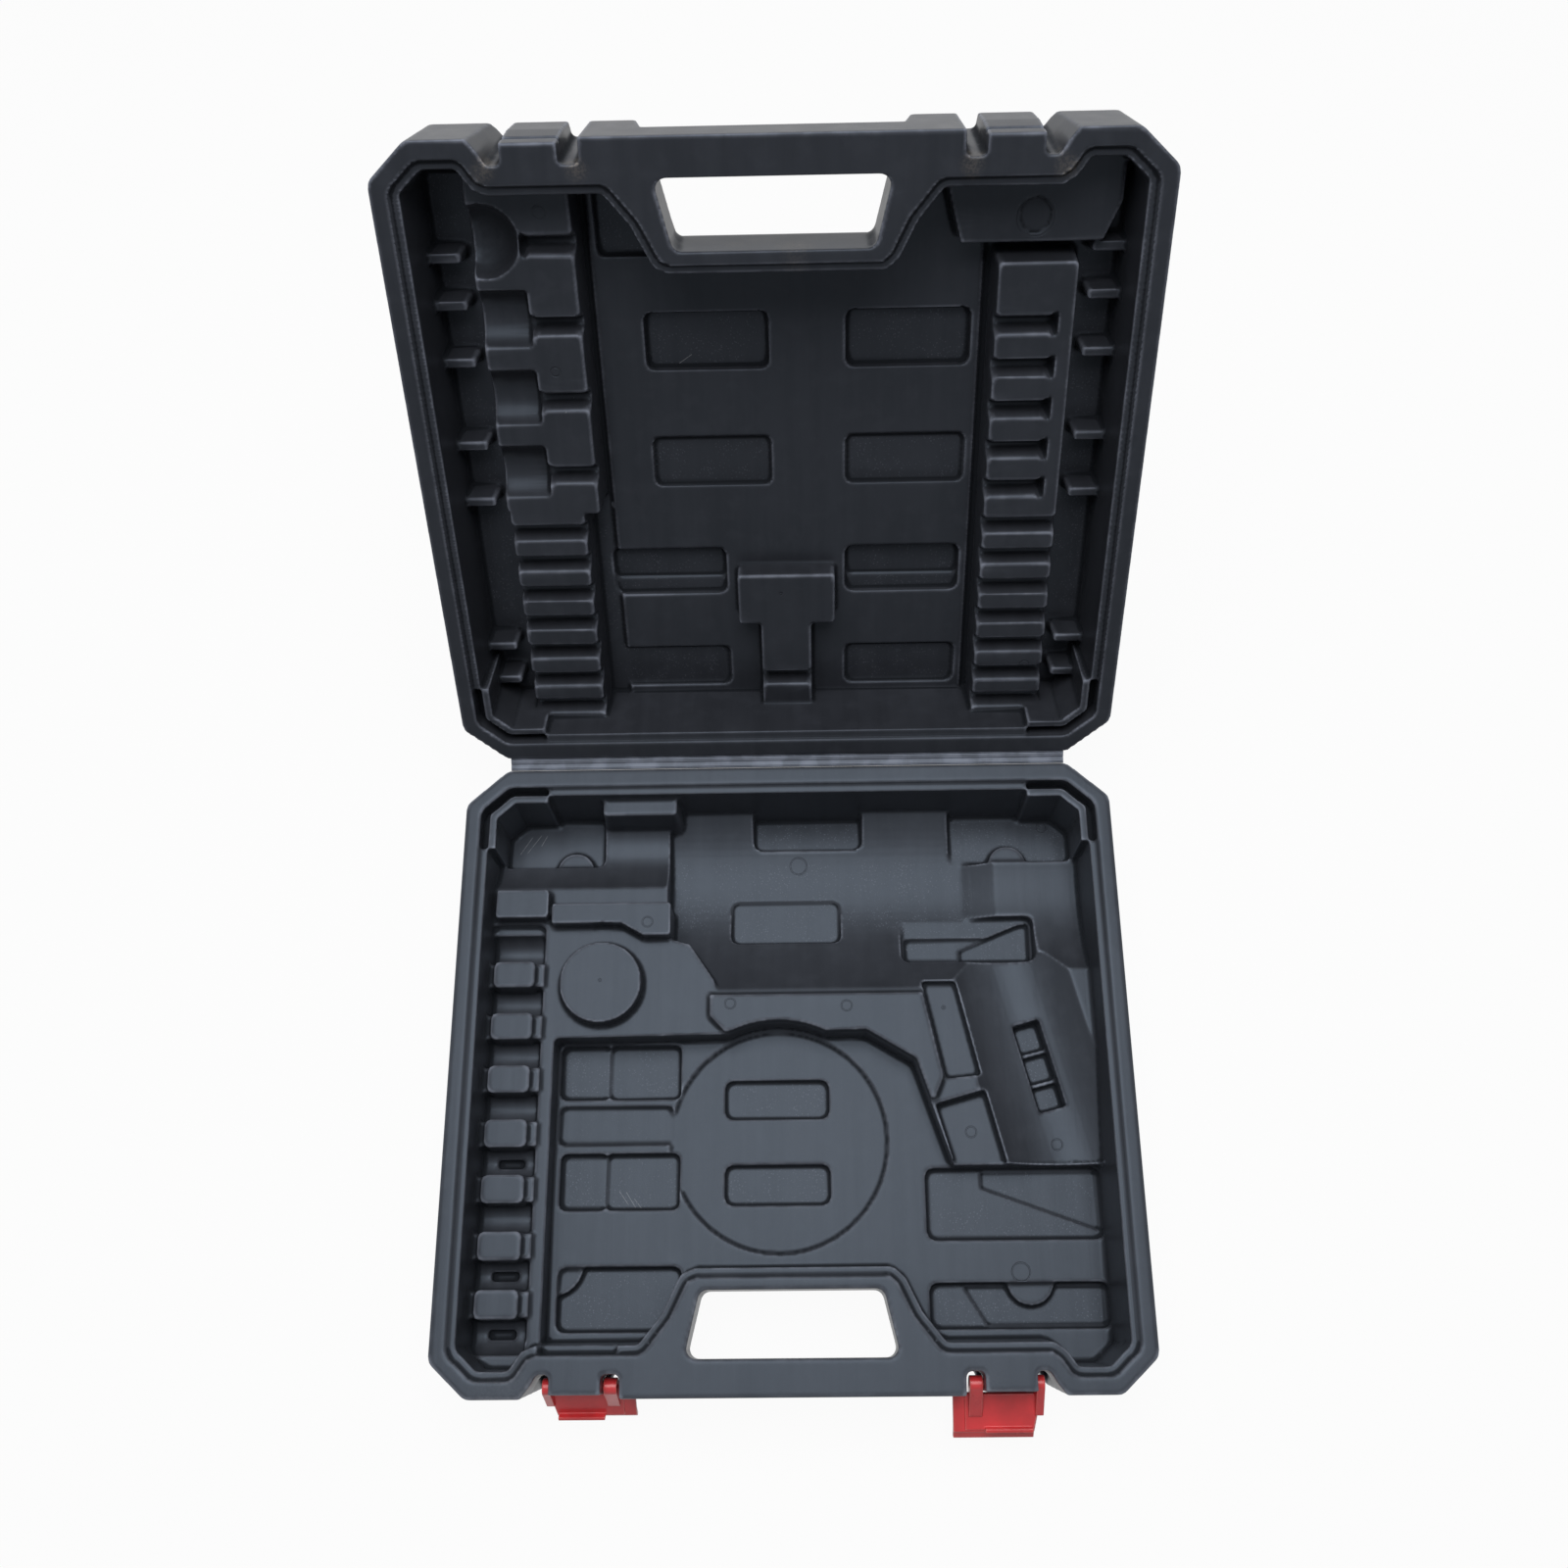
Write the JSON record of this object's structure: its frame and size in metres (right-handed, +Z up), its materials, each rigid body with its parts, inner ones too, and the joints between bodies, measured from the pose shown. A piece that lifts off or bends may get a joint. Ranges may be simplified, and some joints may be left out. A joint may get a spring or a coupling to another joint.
{
  "type": "hard tool case",
  "caption": "Open moulded carrying case with a hinged lid, a hand hole through both halves, clip latches and trays shaped for a power tool.",
  "frame": {"origin": "centre of the base's flat underside", "axes": "+Z up out of the base, +Y from the handle edge to the hinge edge, +X to the right seen from the handle edge"},
  "size_m": [0.38, 0.6076, 0.351],
  "materials": {
    "base_plastic": "fine moulded grain, slight sheen",
    "lid_plastic": "fine moulded grain, slight sheen",
    "latch_plastic": "smooth moulded gloss"
  },
  "bodies": {
    "base": {"base_outer_shell": "base_plastic", "base_inner_tray": "base_plastic", "hinge_web": "base_plastic"},
    "lid": {"lid_outer_shell": "lid_plastic", "lid_inner_tray": "lid_plastic"},
    "latch_left": {"latch_left": "latch_plastic"},
    "latch_right": {"latch_right": "latch_plastic"}
  },
  "joints": [
    {"name": "lid_hinge", "type": "hinge", "parent": "base", "child": "lid", "pos_m": [0, 0.1778, 0.0562], "axis": [1, 0, 0], "range_deg": [-56.9, 123.1], "deforming": ["hinge_web"]},
    {"name": "latch_left_pivot", "type": "hinge", "parent": "base", "child": "latch_left", "pos_m": [-0.113, -0.1684, 0.042], "axis": [1, 0, 0], "range_deg": [-134, 6]},
    {"name": "latch_right_pivot", "type": "hinge", "parent": "base", "child": "latch_right", "pos_m": [0.113, -0.1684, 0.042], "axis": [1, 0, 0], "range_deg": [-106, 34]}
  ]
}
